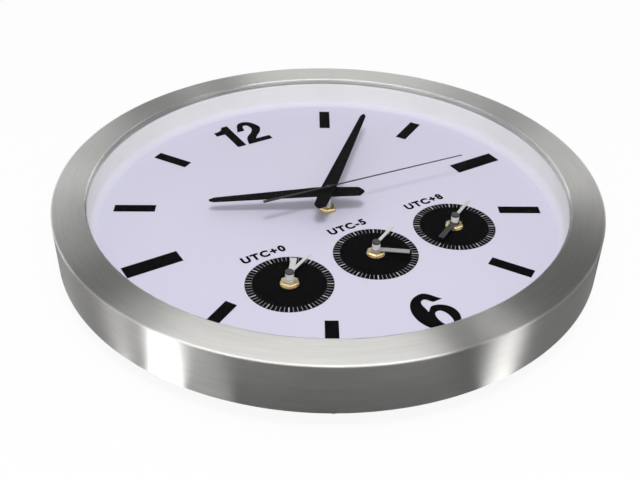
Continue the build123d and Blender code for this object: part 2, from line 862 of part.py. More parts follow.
def make_sub_minute_hand(side, centre):
    top = dial_face + sub_minute_height
    rear = top - sub_hand_thickness
    with BuildPart() as hand:
        with BuildSketch(hand_plane(centre, sub_minute_angle, rear)):
            with Locations((sub_minute_length / 2, 0)):
                Rectangle(sub_minute_length, sub_minute_width)
        extrude(amount=sub_hand_thickness)
        add_disc(centre, rear - sub_minute_collet, top, sub_minute_collet_radius)
        bore = minute_tube_radius + hand_fit
        add_disc(centre, rear - sub_minute_collet, top, bore, Mode.SUBTRACT)
    save(hand, f"minute_hand_{side}")


# Round-topped cap that closes the arbor over the minute hand
def make_hand_cap(side, centre):
    with BuildPart() as cap:
        add_disc(centre, sub_minute_top, sub_minute_top + cap_height, cap_radius)
        fillet(cap.edges().group_by(Axis.Z)[-1], radius=cap_round)
    save(cap, f"hand_cap_{side}")


for side, centre in zip(sub_sides, sub_centres):
    make_sub_hour_hand(side, centre)
    make_sub_minute_hand(side, centre)
    make_hand_cap(side, centre)
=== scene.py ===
import json
import math
import bpy
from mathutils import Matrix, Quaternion, Vector


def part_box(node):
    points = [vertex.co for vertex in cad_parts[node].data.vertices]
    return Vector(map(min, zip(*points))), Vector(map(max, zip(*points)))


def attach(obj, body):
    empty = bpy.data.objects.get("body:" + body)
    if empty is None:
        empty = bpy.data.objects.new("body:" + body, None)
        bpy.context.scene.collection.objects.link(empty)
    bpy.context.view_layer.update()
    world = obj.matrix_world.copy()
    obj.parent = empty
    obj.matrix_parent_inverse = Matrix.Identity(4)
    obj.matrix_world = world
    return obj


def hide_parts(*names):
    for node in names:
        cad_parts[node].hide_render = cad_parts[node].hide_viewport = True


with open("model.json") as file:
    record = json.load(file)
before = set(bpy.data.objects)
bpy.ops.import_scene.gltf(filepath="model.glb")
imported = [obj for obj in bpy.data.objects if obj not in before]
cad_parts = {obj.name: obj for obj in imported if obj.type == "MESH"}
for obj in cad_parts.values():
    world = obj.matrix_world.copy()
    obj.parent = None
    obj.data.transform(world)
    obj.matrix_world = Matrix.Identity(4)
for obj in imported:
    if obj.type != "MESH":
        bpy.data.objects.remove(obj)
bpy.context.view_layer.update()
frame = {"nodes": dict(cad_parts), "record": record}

nodes = frame["nodes"]
mm = 0.001
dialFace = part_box("dial")[1].z
rimLow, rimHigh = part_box("rim")
rimRadius = rimHigh.x
faceTop = rimHigh.z
rimRear = rimLow.z
subSides = ["left", "middle", "right"]
allSides = ["main"] + subSides


def arborCentre(side):
    low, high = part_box(f"minute_arbor_{side}")
    return Vector(((low.x + high.x) / 2, (low.y + high.y) / 2, 0))


# One output of a shader tree. Arithmetic on it adds Math nodes.
class Wire:
    def __init__(self, tree, socket=None):
        self.tree = tree
        self.socket = socket

    def add(self, kind, settings=None, values=None, output=0):
        node = self.tree.nodes.new("ShaderNode" + kind)
        for key, value in (settings or {}).items():
            setattr(node, key, value)
        for key, value in (values or {}).items():
            if isinstance(value, Wire):
                self.tree.links.new(value.socket, node.inputs[key])
            else:
                node.inputs[key].default_value = value
        return Wire(self.tree, node.outputs[output] if node.outputs else None)

    def maths(self, operation, first, second):
        return self.add("Math", {"operation": operation}, {0: first, 1: second})

    def __add__(self, other):
        return self.maths("ADD", self, other)

    def __sub__(self, other):
        return self.maths("SUBTRACT", self, other)

    def __mul__(self, other):
        return self.maths("MULTIPLY", self, other)

    def __truediv__(self, other):
        return self.maths("DIVIDE", self, other)

    def __rsub__(self, other):
        return self.maths("SUBTRACT", other, self)

    __radd__ = __add__
    __rmul__ = __mul__

    def above(self, level):
        return self.maths("GREATER_THAN", self, level)

    def below(self, level):
        return self.maths("LESS_THAN", self, level)

    def clamped(self, most=1.0):
        return self.add("Clamp", None, {"Value": self, "Min": 0.0, "Max": most})

    def past(self, level, most=1.0):
        return (self - level).clamped(most)

    # Noise lies about a half: what it strays from there, times an amount
    def swing(self, amount):
        return (self - 0.5) * amount

    def part(self, index):
        return self.add("SeparateXYZ", None, {0: self}, index)

    def place(self):
        return self.add("TexCoord", None, None, "Object")

    def axisDistance(self, centre):
        offset = self.add("VectorMath", {"operation": "SUBTRACT"}, {0: self.place(), 1: centre})
        flat = self.add("VectorMath", {"operation": "MULTIPLY"}, {0: offset, 1: (1, 1, 0)})
        return self.add("VectorMath", {"operation": "LENGTH"}, {0: flat}, "Value")

    def noise(self, vector, scale, detail=3.0, rough=0.5):
        values = {"Vector": vector, "Scale": scale, "Detail": detail, "Roughness": rough}
        return self.add("TexNoise", None, values)

    def between(self, factor, first, second):
        return self.add("Mix", {"data_type": "RGBA"}, {0: factor, 6: first, 7: second}, 2)

    def bump(self, height, strength, depth):
        return self.add("Bump", None, {"Height": height, "Strength": strength, "Distance": depth})

    def surface(self, **values):
        named = {key.replace("_", " "): value for key, value in values.items()}
        shader = self.add("BsdfPrincipled", None, named)
        self.add("OutputMaterial", None, {"Surface": shader})


def newFinish(name):
    material = bpy.data.materials.new(name)
    material.use_nodes = True
    material.node_tree.nodes.clear()
    return material, Wire(material.node_tree)


def shade(red, green, blue):
    return (red, green, blue, 1.0)


def scaled(colour, share, lift=0.0):
    return shade(*(min(1.0, channel * share + lift) for channel in colour[:3]))


# Streaks that run round an axis through the middle of a turned or spun piece
def turnedStreaks(wire, centre, along, across):
    offset = wire.add("VectorMath", {"operation": "SUBTRACT"}, {0: wire.place(), 1: centre})
    radius = wire.axisDistance(centre)
    turn = {
        "X": offset.part("X") / radius * along,
        "Y": offset.part("Y") / radius * along,
        "Z": radius * across,
    }
    values = {
        "Vector": wire.add("CombineXYZ", None, turn),
        "W": offset.part("Z") * across,
        "Scale": 1.0,
        "Detail": 3.0,
        "Roughness": 0.6,
    }
    return wire.add("TexNoise", {"noise_dimensions": "4D"}, values)


rimShape = {
    "bezelInner": 153.7 * mm,
    "hemInner": 162.5 * mm,
    "sheet": 1.2 * mm,
    "lipDrop": 3.3 * mm,
    "lipWall": 0.35 * mm,
    "outerRound": 0.9 * mm,
    "outerSteps": 5,
    "innerRound": 1.25 * mm,
    "innerSteps": 6,
    "segments": 512,
}

brushedRim = {
    "colour": shade(0.555, 0.55, 0.535),
    "darkShare": 0.74,
    "lightShare": 1.26,
    # pale edge colour: worn polish plus a painted highlight
    "wearAndHighlight": shade(0.86, 0.85, 0.82),
    "wearHighlightBase": 0.20,
    "wearHighlightStreak": 0.5,
    "fineStreak": {"along": 9.0, "across": 2400.0},
    "fineShare": 0.5,
    "broadStreak": {"along": 5.0, "across": 620.0},
    "broadShare": 0.5,
    "stain": {"scale": 26.0, "detail": 4.0, "rough": 0.6},
    "stainLevel": 0.5,
    "stainShare": 0.25,
    "stainColour": shade(0.50, 0.48, 0.44),
    "speck": {"scale": 900.0, "detail": 2.0, "rough": 0.4},
    "speckLevel": 0.76,
    "speckShare": 0.35,
    "speckColour": shade(0.82, 0.82, 0.80),
    "roughness": 0.42,
    "spread": 0.16,
    "stainSpread": 0.08,
    "polish": 0.14,
    "lipDull": 0.40,
    "bandPolish": 0.07,
    "ridgeReach": 1.1 * mm,
    "lipDepth": 1.6 * mm,
    "lipFootReach": 0.32 * mm,
    "bandDepth": 0.6 * mm,
    "bandTop": 1.2 * mm,
    "bumpStrength": 0.12,
    "bumpDepth": 0.05 * mm,
    "grain": 1.0,
    "grainTurn": 0.25,
}


def brushedRimFinish():
    look = brushedRim
    material, wire = newFinish("brushedRimFinish")
    fine = turnedStreaks(wire, (0, 0, 0), **look["fineStreak"])
    broad = turnedStreaks(wire, (0, 0, 0), **look["broadStreak"])
    place = wire.place()
    stain = wire.noise(place, **look["stain"])
    speck = wire.noise(place, **look["speck"]).above(look["speckLevel"])
    dark = scaled(look["colour"], look["darkShare"])
    light = scaled(look["colour"], look["lightShare"])
    colour = wire.between(fine * look["fineShare"] + broad * look["broadShare"], dark, light)
    colour = wire.between(stain.past(look["stainLevel"], look["stainShare"]), colour, look["stainColour"])
    colour = wire.between(speck * look["speckShare"], colour, look["speckColour"])

    # Where on the sheet a point lies: outer ridge, rolled lip, the lip's foot, side band
    radius = wire.axisDistance((0, 0, 0))
    height = place.part("Z")
    ridge = radius.above(rimRadius - look["ridgeReach"]) * height.above(faceTop - look["ridgeReach"])
    lipReach = rimShape["bezelInner"] + rimShape["innerRound"]
    lip = radius.below(lipReach) * height.above(faceTop - look["lipDepth"])
    lipFoot = lip * radius.below(rimShape["bezelInner"] + look["lipFootReach"])
    band = radius.above(rimRadius - look["bandDepth"]) * height.below(faceTop - look["bandTop"])
    # Ridge and rolled lip are mixed towards a pale colour: partly worn polish, partly a painted highlight
    # for the bright line the edges catch
    wearAndHighlight = (ridge + lip) * (look["wearHighlightBase"] + broad * look["wearHighlightStreak"])
    colour = wire.between(wearAndHighlight, colour, look["wearAndHighlight"])
    rough = look["roughness"] + fine.swing(look["spread"]) + stain.swing(look["stainSpread"])
    rough = rough - lip * look["polish"] - band * look["bandPolish"] + lipFoot * look["lipDull"]
    wire.surface(Base_Color=colour, Metallic=1.0, Roughness=rough,
                 Normal=wire.bump(fine, look["bumpStrength"], look["bumpDepth"]),
                 Anisotropic=look["grain"], Anisotropic_Rotation=look["grainTurn"])
    return material


dialBoard = {
    "colour": shade(0.655, 0.632, 0.765),
    "deep": shade(0.625, 0.603, 0.735),
    "bright": shade(0.70, 0.68, 0.79),
    "cloud": {"scale": 9.0, "detail": 3.0},
    "cloudLevel": 0.25,
    "grain": {"scale": 1900.0, "detail": 2.0, "rough": 0.7},
    "grainLevel": 0.5,
    "grainShare": 0.2,
    "bumpStrength": 0.05,
    "bumpDepth": 0.04 * mm,
    "roughness": 0.55,
    "spread": 0.12,
    "specular": 0.25,
}


def dialBoardFinish():
    look = dialBoard
    material, wire = newFinish("dialBoardFinish")
    place = wire.place()
    cloud = wire.noise(place, **look["cloud"])
    grain = wire.noise(place, **look["grain"])
    colour = wire.between(cloud.past(look["cloudLevel"]), look["deep"], look["colour"])
    colour = wire.between(grain.past(look["grainLevel"], look["grainShare"]), colour, look["bright"])
    wire.surface(Base_Color=colour, Roughness=look["roughness"] + grain.swing(look["spread"]),
                 Normal=wire.bump(grain, look["bumpStrength"], look["bumpDepth"]),
                 Specular_IOR_Level=look["specular"])
    return material


printInk = {
    "patch": {"scale": 700.0, "detail": 3.0, "rough": 0.6},
    "patchLevel": 0.45,
    "fadeShare": 1.6,
    "fadeLift": 0.006,
    "bumpStrength": 0.03,
    "bumpDepth": 0.02 * mm,
    "roughness": 0.5,
    "spread": 0.14,
    "specular": 0.02,
}


def printFinish(name, colour, patchy):
    look = printInk
    material, wire = newFinish(name)
    patch = wire.noise(wire.place(), **look["patch"])
    faded = scaled(colour, look["fadeShare"], look["fadeLift"])
    tone = wire.between(patch.past(look["patchLevel"]) * patchy, colour, faded)
    wire.surface(Base_Color=tone, Roughness=look["roughness"] + patch.swing(look["spread"]),
                 Normal=wire.bump(patch, look["bumpStrength"], look["bumpDepth"]),
                 Specular_IOR_Level=look["specular"])
    return material


mouldedPlastic = {
    "cloud": {"scale": 40.0, "detail": 3.0},
    "cloudLevel": 0.3,
    "paleShare": 1.10,
    "paleLift": 0.004,
    "grain": {"detail": 3.0, "rough": 0.65},
    "bumpStrength": 0.35,
    "spread": 0.16,
}


def mouldedFinish(name, colour, roughness, grainScale, grainDepth, specular):
    look = mouldedPlastic
    material, wire = newFinish(name)
    place = wire.place()
    cloud = wire.noise(place, **look["cloud"])
    grain = wire.noise(place, grainScale, **look["grain"])
    pale = scaled(colour, look["paleShare"], look["paleLift"])
    tone = wire.between(cloud.past(look["cloudLevel"]), colour, pale)
    wire.surface(Base_Color=tone, Roughness=roughness + grain.swing(look["spread"]),
                 Normal=wire.bump(grain, look["bumpStrength"], grainDepth),
                 Specular_IOR_Level=specular)
    return material


turnedMetal = {
    "along": 5.0,
    "darkShare": 0.80,
    "tarnish": {"scale": 300.0, "detail": 3.0, "rough": 0.6},
    "tarnishLevel": 0.55,
    "tarnishShare": 0.3,
    "tarnishTone": 0.6,
    "bumpStrength": 0.08,
    "bumpDepth": 0.03 * mm,
    "spread": 0.18,
}


def turnedMetalFinish(name, colour, centre, roughness, across, metal, specular):
    look = turnedMetal
    material, wire = newFinish(name)
    streak = turnedStreaks(wire, centre, look["along"], across)
    tarnish = wire.noise(wire.place(), **look["tarnish"])
    tone = wire.between(streak, scaled(colour, look["darkShare"]), colour)
    tarnished = scaled(colour, look["tarnishTone"])
    tone = wire.between(tarnish.past(look["tarnishLevel"], look["tarnishShare"]), tone, tarnished)
    wire.surface(Base_Color=tone, Metallic=metal, Roughness=roughness + streak.swing(look["spread"]),
                 Normal=wire.bump(streak, look["bumpStrength"], look["bumpDepth"]),
                 Specular_IOR_Level=specular)
    return material


rolledMetal = {
    "darkShare": 0.85,
    "streak": {"scale": 1.0, "detail": 3.0, "rough": 0.6},
    "tarnish": {"scale": 160.0, "detail": 3.0, "rough": 0.6},
    "tarnishLevel": 0.5,
    "tarnishShare": 0.25,
    "tarnishTone": 0.7,
    "bumpStrength": 0.08,
    "bumpDepth": 0.03 * mm,
    "spread": 0.16,
}
# Paler, duller colour for the hub collet: a painted highlight
hubHighlightPaint = {"radius": 2.75 * mm, "colour": shade(0.96, 0.95, 0.93), "metal": 0.1}


# Rolled strip; where a hub is given, the collet round it is painted paler and less metallic as a painted
# highlight
def rolledMetalFinish(name, colour, roughness, stretch, metal=1.0, hub=None):
    look = rolledMetal
    material, wire = newFinish(name)
    place = wire.add("Mapping", None, {"Vector": wire.place(), "Scale": stretch})
    streak = wire.noise(place, **look["streak"])
    tarnish = wire.noise(wire.place(), **look["tarnish"])
    tone = wire.between(streak, scaled(colour, look["darkShare"]), colour)
    tarnished = scaled(colour, look["tarnishTone"])
    tone = wire.between(tarnish.past(look["tarnishLevel"], look["tarnishShare"]), tone, tarnished)
    if hub:
        # Painted highlight: the collet round the hub is paler and less metallic than the strip
        paintedHubHighlight = wire.axisDistance(hub).below(hubHighlightPaint["radius"])
        tone = wire.between(paintedHubHighlight, tone, hubHighlightPaint["colour"])
        metal = metal + paintedHubHighlight * (hubHighlightPaint["metal"] - metal)
    wire.surface(Base_Color=tone, Metallic=metal, Roughness=roughness + streak.swing(look["spread"]),
                 Normal=wire.bump(streak, look["bumpStrength"], look["bumpDepth"]))
    return material


paintedHand = {
    "colour": shade(0.0032, 0.0032, 0.0038),
    "pale": shade(0.006, 0.006, 0.007),
    "peel": {"scale": 900.0, "detail": 3.0, "rough": 0.6},
    "dust": {"scale": 2600.0, "detail": 1.0},
    "dustLevel": 0.74,
    "dustShare": 0.03,
    "dustColour": shade(0.2, 0.2, 0.2),
    "bumpStrength": 0.10,
    "bumpDepth": 0.03 * mm,
    "roughness": 0.48,
    "spread": 0.15,
    "specular": 0.04,
}


def paintedHandFinish():
    look = paintedHand
    material, wire = newFinish("paintedHandFinish")
    place = wire.place()
    peel = wire.noise(place, **look["peel"])
    dust = wire.noise(place, **look["dust"]).above(look["dustLevel"])
    tone = wire.between(peel, look["colour"], look["pale"])
    tone = wire.between(dust * look["dustShare"], tone, look["dustColour"])
    wire.surface(Base_Color=tone, Roughness=look["roughness"] + peel.swing(look["spread"]),
                 Normal=wire.bump(peel, look["bumpStrength"], look["bumpDepth"]),
                 Specular_IOR_Level=look["specular"])
    return material


clearGlass = {
    "tint": shade(0.995, 0.998, 0.997),
    "mirror": shade(0.05, 0.05, 0.05),
    "mirrorShare": 0.25,
    "smear": {"scale": 35.0, "detail": 4.0, "rough": 0.6},
    "smearLow": 0.9,
    "smearRange": 0.2,
    "ior": 1.5,
    "roughness": 0.02,
}


# Thin clear pane: mostly straight through, with a little of the room in it
def clearGlassFinish():
    look = clearGlass
    material, wire = newFinish("clearGlassFinish")
    smear = wire.noise(wire.place(), **look["smear"])
    fresnel = wire.add("Fresnel", None, {"IOR": look["ior"]})
    through = wire.add("BsdfTransparent", None, {"Color": look["tint"]})
    gloss = {"Color": look["mirror"], "Roughness": look["roughness"]}
    mirror = wire.add("BsdfGlossy", None, gloss)
    inside = wire.add("NewGeometry", None, None, "Backfacing")
    smeared = look["smearLow"] + smear * look["smearRange"]
    share = fresnel * look["mirrorShare"] * smeared * (1 - inside)
    pane = wire.add("MixShader", None, {0: share, 1: through, 2: mirror})
    wire.add("OutputMaterial", None, {"Surface": pane})
    return material


batteryJacket = {
    "body": shade(0.022, 0.045, 0.032),
    "band": shade(0.62, 0.30, 0.10),
    "bandStart": 0.72,
    "ring": shade(0.75, 0.74, 0.70),
    "ringStart": 0.70,
    "metal": shade(0.72, 0.72, 0.70),
    "buttonStart": 0.962,
    "footEnd": 0.012,
    "scuff": {"scale": 260.0, "detail": 4.0, "rough": 0.65},
    "scuffLevel": 0.55,
    "scuffShare": 0.3,
    "scuffColour": shade(0.3, 0.3, 0.3),
    "bumpStrength": 0.05,
    "bumpDepth": 0.04 * mm,
    "roughness": 0.28,
    "spread": 0.2,
    "coat": 0.3,
}


# Printed film jacket along X with a bare steel button at the positive end
def batteryFinish(side):
    look = batteryJacket
    low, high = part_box(f"battery_{side}")
    material, wire = newFinish(f"batteryFinish_{side}")
    along = (wire.place().part("X") - low.x) / (high.x - low.x)
    scuff = wire.noise(wire.place(), **look["scuff"])
    band = along.above(look["bandStart"])
    ring = along.above(look["ringStart"]) * along.below(look["bandStart"])
    bare = along.above(look["buttonStart"]) + along.below(look["footEnd"])
    colour = wire.between(band, look["body"], look["band"])
    colour = wire.between(ring, colour, look["ring"])
    colour = wire.between(scuff.past(look["scuffLevel"], look["scuffShare"]), colour, look["scuffColour"])
    colour = wire.between(bare, colour, look["metal"])
    wire.surface(Base_Color=colour, Metallic=bare,
                 Roughness=look["roughness"] + scuff.swing(look["spread"]),
                 Normal=wire.bump(scuff, look["bumpStrength"], look["bumpDepth"]),
                 Coat_Weight=look["coat"] - bare * look["coat"])
    return material


circuitBoard = {
    "colour": shade(0.02, 0.16, 0.06),
    "pale": shade(0.03, 0.22, 0.08),
    "track": shade(0.10, 0.34, 0.14),
    "trackScale": 260.0,
    "trackWidth": 0.05,
    "trackShift": 0.5,
    "weave": {"scale": 1500.0, "detail": 2.0},
    "bumpStrength": 0.2,
    "bumpDepth": 0.05 * mm,
    "roughness": 0.35,
    "spread": 0.1,
}


def circuitBoardFinish():
    look = circuitBoard
    material, wire = newFinish("circuitBoardFinish")
    place = wire.place()
    pattern = {
        "Vector": place,
        "Color1": shade(0, 0, 0),
        "Color2": shade(0, 0, 0),
        "Mortar": shade(1, 1, 1),
        "Scale": look["trackScale"],
        "Mortar Size": look["trackWidth"],
    }
    tracks = wire.add("TexBrick", {"offset": look["trackShift"]}, pattern)
    weave = wire.noise(place, **look["weave"])
    tone = wire.between(weave, look["colour"], look["pale"])
    tone = wire.between(tracks, tone, look["track"])
    wire.surface(Base_Color=tone, Roughness=look["roughness"] + weave.swing(look["spread"]),
                 Normal=wire.bump(tracks, look["bumpStrength"], look["bumpDepth"]))
    return material


copperCoil = {
    "groove": shade(0.42, 0.17, 0.07),
    "wire": shade(0.80, 0.40, 0.20),
    "turns": {"Scale": 1100.0, "Distortion": 0.6, "Detail": 1.0},
    "bumpStrength": 0.6,
    "bumpDepth": 0.1 * mm,
    "roughness": 0.42,
    "turnPolish": 0.12,
}


def copperCoilFinish():
    look = copperCoil
    material, wire = newFinish("copperCoilFinish")
    turns = wire.add("TexWave", {"bands_direction": "Y"}, {"Vector": wire.place(), **look["turns"]})
    # Painted shade: darker copper in the grooves between the turns
    tone = wire.between(turns, look["groove"], look["wire"])
    wire.surface(Base_Color=tone, Metallic=1.0,
                 Roughness=look["roughness"] - turns * look["turnPolish"],
                 Normal=wire.bump(turns, look["bumpStrength"], look["bumpDepth"]))
    return material


mouldedLooks = {
    "black_rubber": {
        "name": "rubberFinish", "colour": shade(0.17, 0.17, 0.17), "roughness": 0.75,
        "grainScale": 900.0, "grainDepth": 0.06 * mm, "specular": 0.25,
    },
    "white_plastic": {
        "name": "whitePlasticFinish", "colour": shade(0.92, 0.92, 0.91), "roughness": 0.55,
        "grainScale": 1200.0, "grainDepth": 0.02 * mm, "specular": 0.25,
    },
    "black_cover": {
        "name": "backCoverFinish", "colour": shade(0.020, 0.020, 0.021), "roughness": 0.50,
        "grainScale": 1100.0, "grainDepth": 0.12 * mm, "specular": 0.4,
    },
    "movement_plastic": {
        "name": "movementFinish", "colour": shade(0.016, 0.016, 0.018), "roughness": 0.42,
        "grainScale": 1500.0, "grainDepth": 0.06 * mm, "specular": 0.4,
    },
    "gear_plastic": {
        "name": "gearFinish", "colour": shade(0.80, 0.78, 0.70), "roughness": 0.38,
        "grainScale": 1000.0, "grainDepth": 0.03 * mm, "specular": 0.4,
    },
}
silverHand = {
    "colour": shade(0.76, 0.76, 0.75), "roughness": 0.34,
    "stretch": (2400.0, 2400.0, 300.0), "metal": 0.5,
}
rolledLooks = {
    "hand_silver": {"name": "silverHandFinish", **silverHand},
    "zinc_steel": {
        "name": "zincFinish", "colour": shade(0.66, 0.66, 0.67), "roughness": 0.34,
        "stretch": (900.0, 900.0, 900.0),
    },
    "spring_steel": {
        "name": "springFinish", "colour": shade(0.72, 0.71, 0.69), "roughness": 0.28,
        "stretch": (300.0, 1800.0, 300.0),
    },
    "stator_iron": {
        "name": "statorFinish", "colour": shade(0.40, 0.40, 0.42), "roughness": 0.45,
        "stretch": (1500.0, 200.0, 1500.0),
    },
}
finishes = {
    "brushed_rim": brushedRimFinish(),
    "clear_glass": clearGlassFinish(),
    "dial_board": dialBoardFinish(),
    "black_print": printFinish("blackPrintFinish", shade(0.0030, 0.0030, 0.0036), 0.08),
    "hand_black": paintedHandFinish(),
    "circuit_board": circuitBoardFinish(),
    "copper_coil": copperCoilFinish(),
}
for slot, look in mouldedLooks.items():
    finishes[slot] = mouldedFinish(**look)
for slot, look in rolledLooks.items():
    finishes[slot] = rolledMetalFinish(**look)
whitePrint = printFinish("whitePrintFinish", shade(0.52, 0.52, 0.54), 0.2)
greyPrint = printFinish("greyPrintFinish", shade(0.27, 0.27, 0.29), 0.2)


def dress(piece, material):
    piece.data.materials.clear()
    piece.data.materials.append(material)


def dressBySlot():
    for row in frame["record"]["subparts"]:
        if row["material_slot"] in finishes:
            dress(nodes[row["node"]], finishes[row["material_slot"]])
    for side in allSides:
        dress(nodes[f"battery_{side}"], batteryFinish(side))


handCap = {
    "colour": shade(0.085, 0.080, 0.078), "roughness": 0.42,
    "across": 3000.0, "metal": 0.15, "specular": 0.2,
}
brassWork = {
    "colour": shade(0.75, 0.60, 0.34), "roughness": 0.34,
    "across": 2600.0, "metal": 0.85, "specular": 0.5,
}
bluedSteel = {
    "colour": shade(0.020, 0.020, 0.024), "roughness": 0.45,
    "stretch": (900.0, 900.0, 900.0), "metal": 0.3,
}
# Darker greys for the middle and right hour hands: painted shade
paintedShadeHand = {
    "greys": {"middle": 0.45, "right": 0.065}, "roughness": 0.42,
    "stretch": (2400.0, 2400.0, 300.0), "metal": 0.5,
}
secondHand = {
    "colour": shade(0.016, 0.016, 0.018), "roughness": 0.34,
    "grainScale": 1400.0, "grainDepth": 0.02 * mm, "specular": 0.35,
}


# Finishes that differ from the slot's own: caps, hubs (painted highlight), brass, arbors and hour hands
# darkened as painted shade
def dressHandWork():
    for side in subSides:
        centre = arborCentre(side)
        dress(nodes[f"hand_cap_{side}"], turnedMetalFinish(f"capFinish_{side}", centre=centre, **handCap))
        silver = rolledMetalFinish(f"silverMinuteFinish_{side}", hub=centre, **silverHand)
        dress(nodes[f"minute_hand_{side}"], silver)
    brass = turnedMetalFinish("brassFinish", centre=(0, 0, 0), **brassWork)
    for name in ("hand_nuts", "washers", "threaded_bushes"):
        dress(nodes[name], brass)
    blued = rolledMetalFinish("bluedFinish", **bluedSteel)
    for name in ("second_arbor", "minute_arbor_main"):
        dress(nodes[name], blued)
    # Painted shade: these hour hands get darker greys than the left one for the light their bent blades
    # catch
    for side, grey in paintedShadeHand["greys"].items():
        shaded = rolledMetalFinish(f"paintedShadeHandFinish_{side}", shade(grey, grey, grey),
                                   paintedShadeHand["roughness"], paintedShadeHand["stretch"], paintedShadeHand["metal"])
        dress(nodes[f"hour_hand_{side}"], shaded)
    dress(nodes["second_hand"], mouldedFinish("secondHandFinish", **secondHand))


dressBySlot()
dressHandWork()
print("finishes on", len(nodes), "nodes")


def clearSelection():
    if bpy.context.object and bpy.context.object.mode != "OBJECT":
        bpy.ops.object.mode_set(mode="OBJECT")
    bpy.ops.object.select_all(action="DESELECT")


def pickEdges(piece, wanted):
    bpy.ops.object.mode_set(mode="EDIT")
    bpy.ops.mesh.select_mode(type="EDGE")
    bpy.ops.mesh.select_all(action="DESELECT")
    bpy.ops.object.mode_set(mode="OBJECT")
    points = piece.data.vertices
    for edge in piece.data.edges:
        edge.select = wanted(points[edge.vertices[0]].co, points[edge.vertices[1]].co)
    bpy.ops.object.mode_set(mode="EDIT")


mergeReach = 0.001 * mm


# Ring of revolution: a circle extruded and resized from one (radius, height) to the next
def spunRing(name, profile, segments):
    clearSelection()
    radius, height = profile[0]
    bpy.ops.mesh.primitive_circle_add(vertices=segments, radius=radius)
    piece = bpy.context.object
    piece.name = name
    bpy.ops.object.mode_set(mode="EDIT")
    bpy.ops.mesh.select_all(action="SELECT")
    bpy.ops.transform.translate(value=(0, 0, height))
    for nextRadius, nextHeight in profile[1:] + profile[:1]:
        bpy.ops.mesh.extrude_region_move(TRANSFORM_OT_translate={"value": (0, 0, nextHeight - height)})
        grow = nextRadius / radius
        bpy.ops.transform.resize(value=(grow, grow, 1), center_override=(0, 0, 0))
        radius, height = nextRadius, nextHeight
    bpy.ops.mesh.select_all(action="SELECT")
    bpy.ops.mesh.remove_doubles(threshold=mergeReach)
    bpy.ops.mesh.normals_make_consistent(inside=False)
    bpy.ops.object.mode_set(mode="OBJECT")
    return piece


rimSlack = 0.02 * mm


def onRim(point, rim):
    radius, height = rim
    away = math.hypot(point.x, point.y)
    return abs(away - radius) < rimSlack and abs(point.z - height) < rimSlack


def roundRims(piece, rims, width, steps):
    def wanted(first, second):
        return any(onRim(first, rim) and onRim(second, rim) for rim in rims)
    pickEdges(piece, wanted)
    bpy.ops.mesh.bevel(offset=width, segments=steps, affect="EDGES")
    bpy.ops.object.mode_set(mode="OBJECT")


creaseAngle = 40


def smooth(piece):
    clearSelection()
    piece.select_set(True)
    bpy.context.view_layer.objects.active = piece
    bpy.ops.object.shade_smooth_by_angle(angle=math.radians(creaseAngle))


def makeRim():
    sheet = rimShape["sheet"]
    lipRear = faceTop - rimShape["lipDrop"]
    lipOuter = rimShape["bezelInner"] + rimShape["lipWall"]
    profile = [
        (rimShape["bezelInner"], lipRear),
        (rimShape["bezelInner"], faceTop),
        (rimRadius, faceTop),
        (rimRadius, rimRear),
        (rimShape["hemInner"], rimRear),
        (rimShape["hemInner"], rimRear + sheet),
        (rimRadius - sheet, rimRear + sheet),
        (rimRadius - sheet, faceTop - sheet),
        (lipOuter, faceTop - sheet),
        (lipOuter, lipRear),
    ]
    piece = spunRing("rimShell", profile, rimShape["segments"])
    roundRims(piece, [profile[2], profile[3]], rimShape["outerRound"], rimShape["outerSteps"])
    roundRims(piece, [profile[1]], rimShape["innerRound"], rimShape["innerSteps"])
    smooth(piece)
    dress(piece, finishes["brushed_rim"])
    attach(piece, "case")
    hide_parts("rim")


makeRim()
print("rim", rimRadius, faceTop, rimRear)

ringShape = {
    "wall": 2.0 * mm,
    "flange": 1.5 * mm,
    "headRound": 2.2 * mm,
    "headSteps": 6,
    "inner": 154.0 * mm,
    "cove": 6.0 * mm,
    "coveSteps": 8,
    "coveSweep": 80,
    "colour": shade(0.92, 0.92, 0.91),
    "deep": shade(0.88, 0.88, 0.87),
    "grainScale": 1200.0,
    "grainDepth": 0.02 * mm,
    "roughness": 0.55,
    "specular": 0.25,
    "segments": 512,
}


# White moulding whose foot is painted in the dial's tint, fading upwards: painted reflected light from
# the dial
def ringWallFinish():
    material, wire = newFinish("ringWallFinish")
    place = wire.place()
    cloud = wire.noise(place, **mouldedPlastic["cloud"])
    grain = wire.noise(place, ringShape["grainScale"], **mouldedPlastic["grain"])
    rise = ((place.part("Z") - dialFace) / ringShape["cove"]).clamped()
    pale = cloud.past(mouldedPlastic["cloudLevel"])
    tone = wire.between(pale, ringShape["deep"], ringShape["colour"])
    # Painted reflection: the wall's foot takes the dial colour, fading out over the cove height
    tone = wire.between(rise, dialBoard["colour"], tone)
    rough = ringShape["roughness"] + grain.swing(mouldedPlastic["spread"])
    wire.surface(Base_Color=tone, Roughness=rough,
                 Normal=wire.bump(grain, mouldedPlastic["bumpStrength"], ringShape["grainDepth"]),
                 Specular_IOR_Level=ringShape["specular"])
    return material


